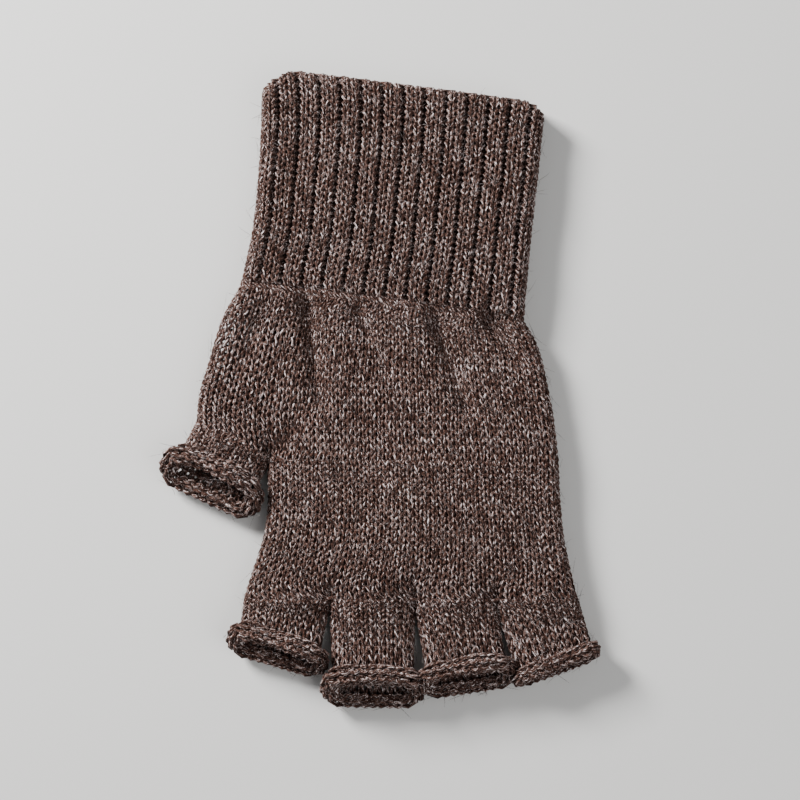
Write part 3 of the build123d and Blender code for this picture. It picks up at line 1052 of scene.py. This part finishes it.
# %% Where the cloth bends
CUFF_AHEAD = np.array([0.0995, 0.995])  # up the cuff, square to the wrist line
CUFF_BEND = 20.0  # mm
STUB_BEND_START, STUB_BEND_END = 0.5, 13.0  # mm from the root line
WRIST_MIDDLE = (WRIST_LEFT + WRIST_RIGHT) / 2


def metres(x, y):
    return ((x + ORIGIN[0]) * MM, (y + ORIGIN[1]) * MM, FOLD_HEIGHT * MM)


def follow_cuff(piece):
    cuff_end_of_bend = WRIST_MIDDLE + CUFF_AHEAD * CUFF_BEND
    metres(*WRIST_MIDDLE)
    metres(*cuff_end_of_bend)
    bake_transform(piece)


def follow_stub(piece, name):
    left, right = np.array(STUBS[name].root)
    middle, line = (left + right) / 2, (right - left) / np.linalg.norm(right - left)
    ahead = np.array([line[1], -line[0]])
    start, end = middle + ahead * STUB_BEND_START, middle + ahead * STUB_BEND_END
    metres(*start)
    metres(*end)
    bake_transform(piece)


print("the wrist's bend starts at", [round(v, 4) for v in metres(*WRIST_MIDDLE)], "m")


# %% Bodies and replaced nodes
def dress(piece, nodes=()):
    if nodes:
        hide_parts(*nodes)


for piece in (heel_lower, heel_upper, palm_knit, hand_hairs, heel_hairs):
    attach(piece, "hand")
    dress(piece, ["hand_tube"] if piece is palm_knit else [])
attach(wrist_row, "hand")
dress(wrist_row, ["wrist_join_row"])
for piece in (cuff_start, cuff_start_hairs):
    follow_cuff(piece)
    dress(piece)
for piece in (cuff_end, cuff_end_hairs):
    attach(piece, "cuff")
    dress(piece, ["cuff_rib"] if piece is cuff_end else [])
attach(lip, "cuff")
dress(lip, ["cuff_cast_off_edge"])
for name in STUBS:
    follow_stub(tubes[name], name)
    node = name.removesuffix("_finger")
    dress(tubes[name], [node + "_tube"])
    follow_stub(tube_hairs[name], name)
    dress(tube_hairs[name])
    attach(rim_hairs[name], name)
    dress(rim_hairs[name])
    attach(rims[name], name)
    dress(rims[name], [node + "_rolled_rim"])
for pair, piece in joins.items():
    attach(piece, "hand")
    dress(piece, [pair + "_crotch_join"])
print("pieces that bend with a fold:", 2 + 2 * len(STUBS))

# %% [markdown]
# ## Floor, lights and camera
#
# The glove lies on a plain pale floor. The key light comes low from one side, because knitting
# shows its relief only when the light rakes over it, and a wide fill keeps the shadows soft. The
# camera looks straight down through a long lens, so that the glove's outline isn't distorted.

# %% Stage sizes
FLOOR_HALF = 3.0  # m
FLOOR_COLOUR, FLOOR_ROUGHNESS = (0.72, 0.71, 0.69, 1), 0.9
SKY_COLOUR, SKY_STRENGTH = (0.95, 0.97, 1.0, 1), 0.26
LAMPS = (  # name, place and size in metres, power in watts
    ("key", (-0.58, 0.48, 0.44), 0.26, 21.0),
    ("fill", (0.6, -0.3, 0.7), 0.9, 5.0),
)
LENS = 85.0  # mm
FRAME_WIDTH = 244.6  # mm of floor from side to side
FRAME_CENTRE = np.array([6.9, -3.6])
print("lamps", [(name, power) for name, _, _, power in LAMPS])


# %% Floor, lights and camera
def set_stage():
    plane = bpy.data.meshes.new("floor")
    corners = [(x * FLOOR_HALF, y * FLOOR_HALF, 0) for x, y in ((-1, -1), (1, -1), (1, 1), (-1, 1))]
    plane.from_pydata(corners, [], [(0, 1, 2, 3)])
    pale = bpy.data.materials.new("pale_floor")
    pale.use_nodes = True
    shader = pale.node_tree.nodes["Principled BSDF"]
    shader.inputs["Base Color"].default_value = FLOOR_COLOUR
    shader.inputs["Roughness"].default_value = FLOOR_ROUGHNESS
    plane.materials.append(pale)
    floor = linked("floor", plane)
    world = bpy.data.worlds.new("studio")
    world.use_nodes = True
    sky = world.node_tree.nodes["Background"]
    sky.inputs["Color"].default_value = SKY_COLOUR
    sky.inputs["Strength"].default_value = SKY_STRENGTH
    bpy.context.scene.world = world
    for name, place, size, power in LAMPS:
        light = bpy.data.lights.new(name, "AREA")
        light.size, light.energy = size, power
        lamp = linked(name, light)
        lamp.location = place
        lamp.rotation_euler = (-Vector(place)).to_track_quat("-Z", "Y").to_euler()
    lens = bpy.data.cameras.new("overhead")
    lens.lens = LENS
    camera = linked("overhead", lens)
    view = FRAME_CENTRE + ORIGIN
    camera.location = (view[0] * MM, view[1] * MM, FRAME_WIDTH * MM * LENS / lens.sensor_width)
    bpy.context.scene.camera = camera
    return camera


camera = set_stage()
print("camera stands at", [round(v, 3) for v in camera.location], "m")

# %% [markdown]
# ## Sizes
#
# The knitted glove is a little larger than the CAD part, because its mouths lean back, its rims roll
# outwards and its hairs stand off.
